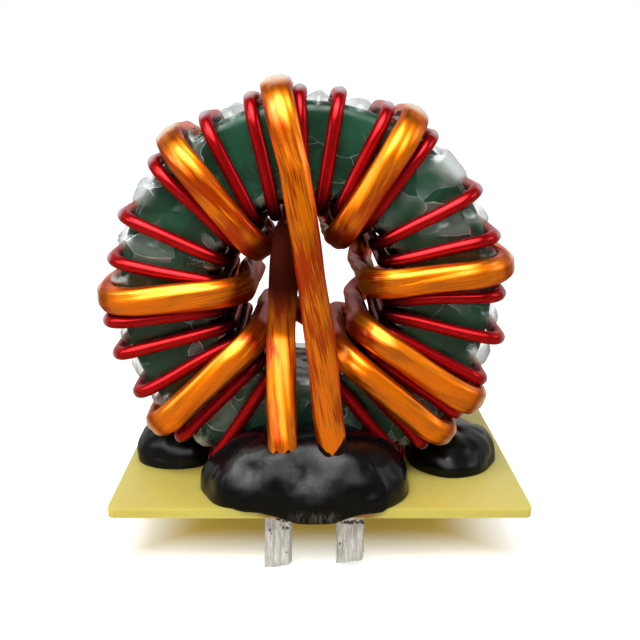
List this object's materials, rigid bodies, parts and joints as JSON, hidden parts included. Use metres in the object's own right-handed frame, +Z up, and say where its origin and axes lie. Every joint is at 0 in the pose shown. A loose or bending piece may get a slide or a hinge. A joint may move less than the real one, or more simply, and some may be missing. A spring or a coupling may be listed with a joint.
{
  "type": "high-frequency transformer",
  "caption": "Upright ring-core high-frequency transformer on a small fibreglass board, wound with red enamelled wire and flat litz, held by black silicone.",
  "frame": {"origin": "middle of the board's underside", "axes": "+Z up out of the board, -Y towards the front where the two litz leads come down, +X to the right seen from there; the ring's axis lies along Y"},
  "size_m": [0.054, 0.0412, 0.0591],
  "materials": {
    "core_coating": "dark green epoxy coating",
    "clear_film": "clear polyester film, crinkled and glossy",
    "red_enamel": "glossy deep red enamel on copper",
    "litz": "fine enamelled strands under clear glossy film",
    "fibreglass": "bare yellow fibreglass, satin",
    "silicone": "black cured silicone, glossy and a little dusty",
    "solder": "tinned strands, uneven and bright"
  },
  "bodies": {
    "root": {"core": "core_coating", "core_film": "clear_film", "red_winding": "red_enamel", "litz_winding": "litz", "board": "fibreglass", "adhesive_front": "silicone", "adhesive_left": "silicone", "adhesive_right": "silicone", "adhesive_rear": "silicone", "tinned_end_front_left": "solder", "tinned_end_front_right": "solder", "tinned_end_rear_left": "solder", "tinned_end_rear_right": "solder"}
  },
  "joints": []
}
